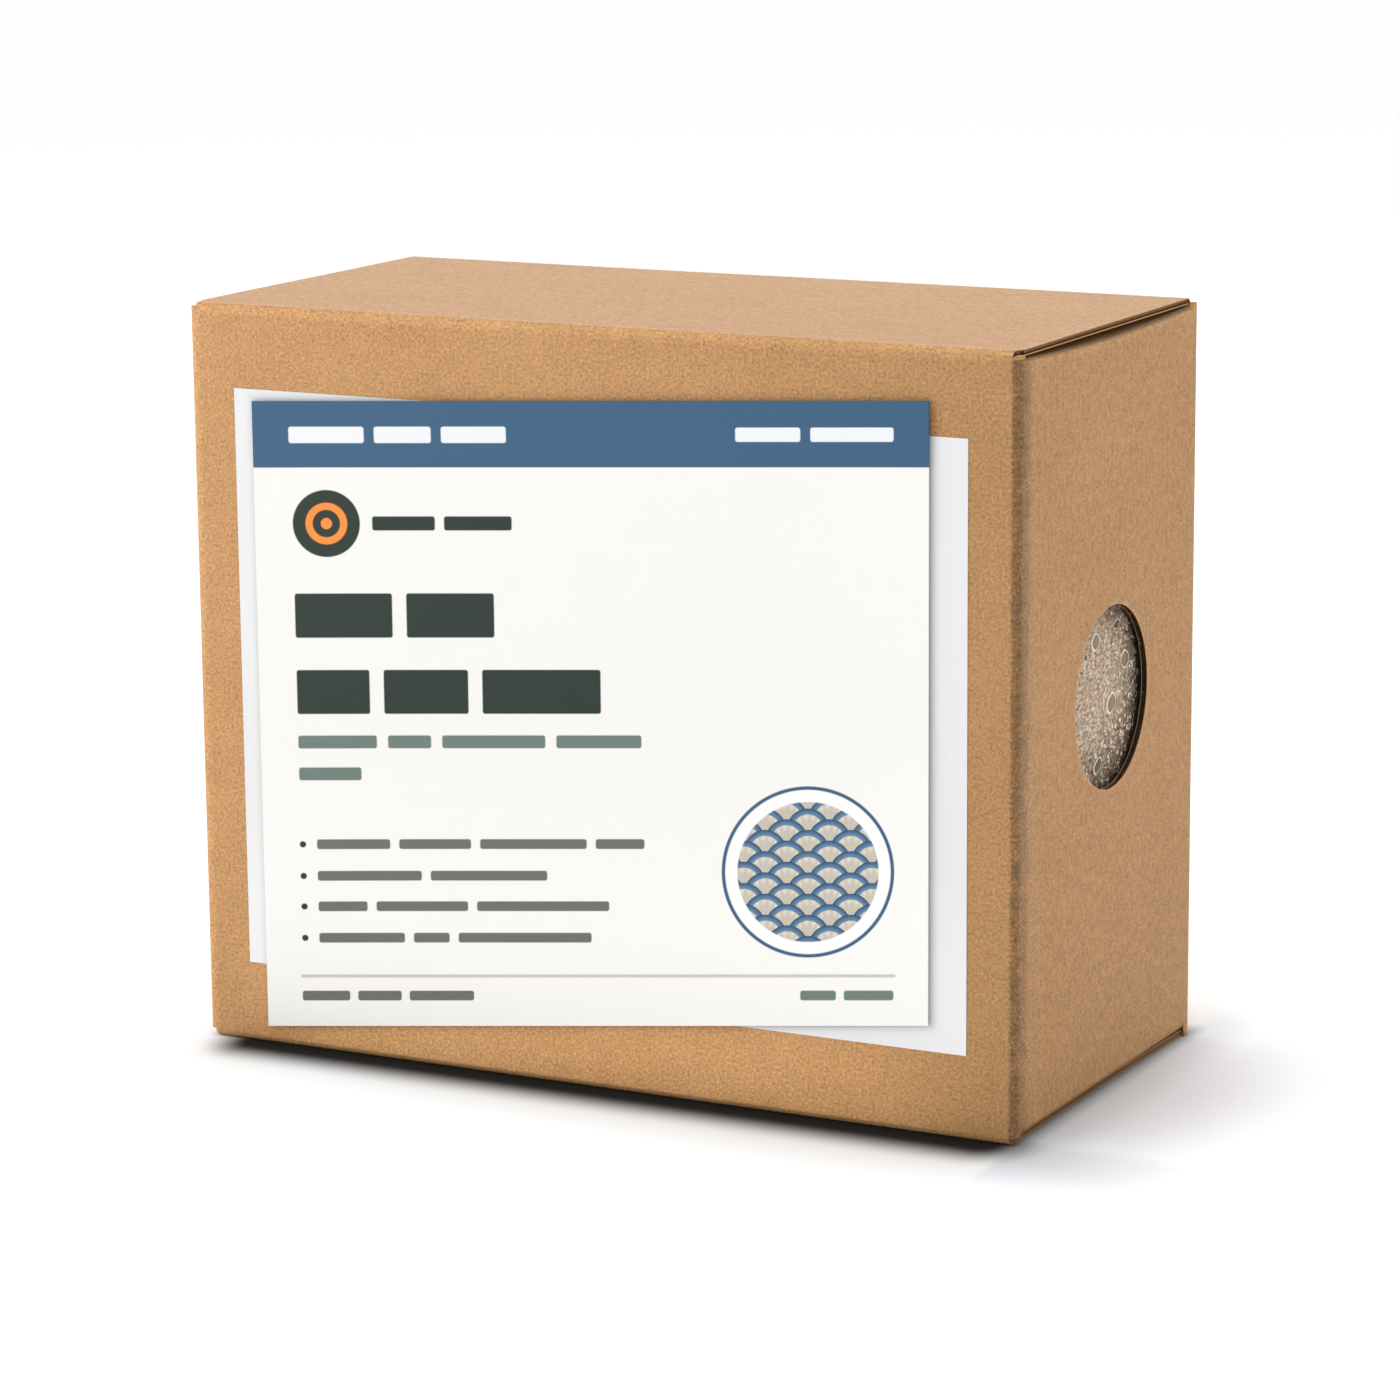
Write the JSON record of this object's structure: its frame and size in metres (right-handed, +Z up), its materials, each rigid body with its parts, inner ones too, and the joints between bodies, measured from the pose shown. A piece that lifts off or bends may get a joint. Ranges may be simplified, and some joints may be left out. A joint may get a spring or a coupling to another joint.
{
  "type": "oyster mushroom grow kit",
  "caption": "Grow kit: a brick of mycelium and sawdust in a clear film bag, boxed in a kraft tuck-top carton with a hinged lid, paper labels and a round fruiting hole in its end.",
  "frame": {"origin": "centre of the carton's base, on the surface it stands on", "axes": "+X towards the end with the fruiting hole, -Y the front with the labels, +Z up; the lid hinges on the front's top edge"},
  "size_m": [0.216, 0.1073, 0.181],
  "materials": {
    "kraft_board": "matte",
    "clear_film": "gloss",
    "mycelium": "matte",
    "plain_paper": "matte",
    "printed_paper": "satin"
  },
  "bodies": {
    "carton": {"carton": "kraft_board", "bag": "clear_film", "block": "mycelium", "backing_label": "plain_paper", "printed_card": "printed_paper"},
    "lid": {"lid": "kraft_board"}
  },
  "joints": [
    {"name": "lid_hinge", "type": "hinge", "parent": "carton", "child": "lid", "pos_m": [0, -0.05257, 0.18057], "axis": [1, 0, 0], "range_deg": [0, 180]}
  ]
}
